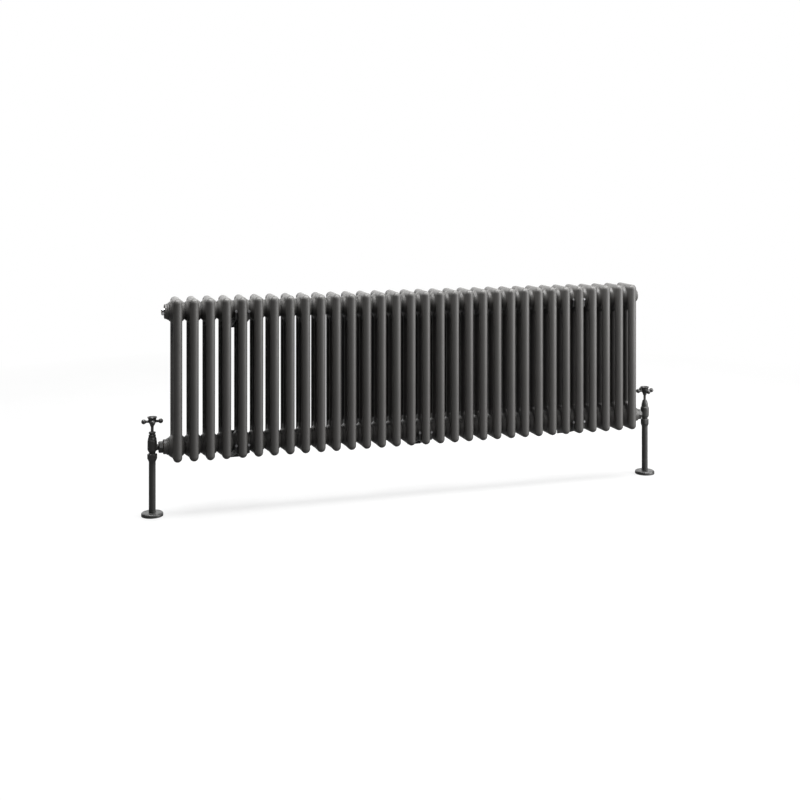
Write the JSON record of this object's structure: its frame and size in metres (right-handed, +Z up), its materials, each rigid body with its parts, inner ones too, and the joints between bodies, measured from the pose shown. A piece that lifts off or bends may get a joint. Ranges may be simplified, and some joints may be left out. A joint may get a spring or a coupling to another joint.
{
  "type": "column radiator with valves",
  "caption": "Low column radiator of joined tube sections on wall brackets, with a crosshead valve, pipe sleeve and floor rose at each end.",
  "frame": {"origin": "on the floor, under the middle of the whole radiator's length and depth", "axes": "+X along the radiator towards the valve at the blank-plug end, +Y towards the wall, +Z up"},
  "size_m": [1.586, 0.131, 0.601],
  "materials": {
    "anthracite_paint": "satin powder coat",
    "black_bracket": "matt black powder coat",
    "chrome": "polished",
    "zinc_steel": "bright zinc plated",
    "brass": "machined",
    "rubber": "matt"
  },
  "bodies": {
    "radiator": {"section_01": "anthracite_paint", "section_02": "anthracite_paint", "section_03": "anthracite_paint", "section_04": "anthracite_paint", "section_05": "anthracite_paint", "section_06": "anthracite_paint", "section_07": "anthracite_paint", "section_08": "anthracite_paint", "section_09": "anthracite_paint", "section_10": "anthracite_paint", "section_11": "anthracite_paint", "section_12": "anthracite_paint", "section_13": "anthracite_paint", "section_14": "anthracite_paint", "section_15": "anthracite_paint", "section_16": "anthracite_paint", "section_17": "anthracite_paint", "section_18": "anthracite_paint", "section_19": "anthracite_paint", "section_20": "anthracite_paint", "section_21": "anthracite_paint", "section_22": "anthracite_paint", "section_23": "anthracite_paint", "section_24": "anthracite_paint", "section_25": "anthracite_paint", "section_26": "anthracite_paint", "section_27": "anthracite_paint", "section_28": "anthracite_paint", "section_29": "anthracite_paint", "section_30": "anthracite_paint", "section_31": "anthracite_paint", "section_32": "anthracite_paint", "joining_nipples": "zinc_steel", "joint_gaskets": "rubber", "top_left_bush": "anthracite_paint", "top_right_plug": "anthracite_paint", "bottom_bushes": "anthracite_paint", "air_vent": "chrome", "wall_brackets": "black_bracket", "bracket_screws": "zinc_steel", "left_valve_body": "anthracite_paint", "right_valve_body": "anthracite_paint", "valve_bonnets": "anthracite_paint", "gland_nuts": "anthracite_paint", "union_nuts": "anthracite_paint", "union_tails": "brass", "compression_nuts": "anthracite_paint", "olives": "brass", "pipe_sleeves": "anthracite_paint"},
    "left_jumper": {"left_seat_washer": "rubber"},
    "left_handle_group": {"left_handle": "anthracite_paint", "left_spindle": "anthracite_paint", "left_handle_screw": "chrome"},
    "right_jumper": {"right_seat_washer": "rubber"},
    "right_handle_group": {"right_handle": "anthracite_paint", "right_spindle": "anthracite_paint", "right_handle_screw": "chrome"},
    "bleed_screw": {"air_vent_screw": "brass"},
    "left_rose": {"left_floor_rose": "anthracite_paint"},
    "right_rose": {"right_floor_rose": "anthracite_paint"}
  },
  "joints": [
    {"name": "left_valve_lift", "type": "slide", "parent": "radiator", "child": "left_jumper", "axis": [0, 0, 1], "range_m": [0, 0.0045]},
    {"name": "left_handle_turn", "type": "hinge", "parent": "left_jumper", "child": "left_handle_group", "pos_m": [-0.763, -0.015, 0.1885], "axis": [0, 0, 1], "range_deg": [0, 1080]},
    {"name": "right_valve_lift", "type": "slide", "parent": "radiator", "child": "right_jumper", "axis": [0, 0, 1], "range_m": [0, 0.0045]},
    {"name": "right_handle_turn", "type": "hinge", "parent": "right_jumper", "child": "right_handle_group", "pos_m": [0.763, -0.015, 0.1885], "axis": [0, 0, 1], "range_deg": [0, 1080]},
    {"name": "bleed_screw_turn", "type": "hinge", "parent": "radiator", "child": "bleed_screw", "pos_m": [-0.73, -0.015, 0.5635], "axis": [-1, 0, 0], "range_deg": [0, 360]},
    {"name": "left_rose_slide", "type": "slide", "parent": "radiator", "child": "left_rose", "axis": [0, 0, 1], "range_m": [0, 0.1]},
    {"name": "right_rose_slide", "type": "slide", "parent": "radiator", "child": "right_rose", "axis": [0, 0, 1], "range_m": [0, 0.1]}
  ],
  "couplings": [
    {"joint": "left_valve_lift", "follows": "left_handle_turn", "m_per_rad": 0.00023873},
    {"joint": "right_valve_lift", "follows": "right_handle_turn", "m_per_rad": 0.00023873}
  ]
}
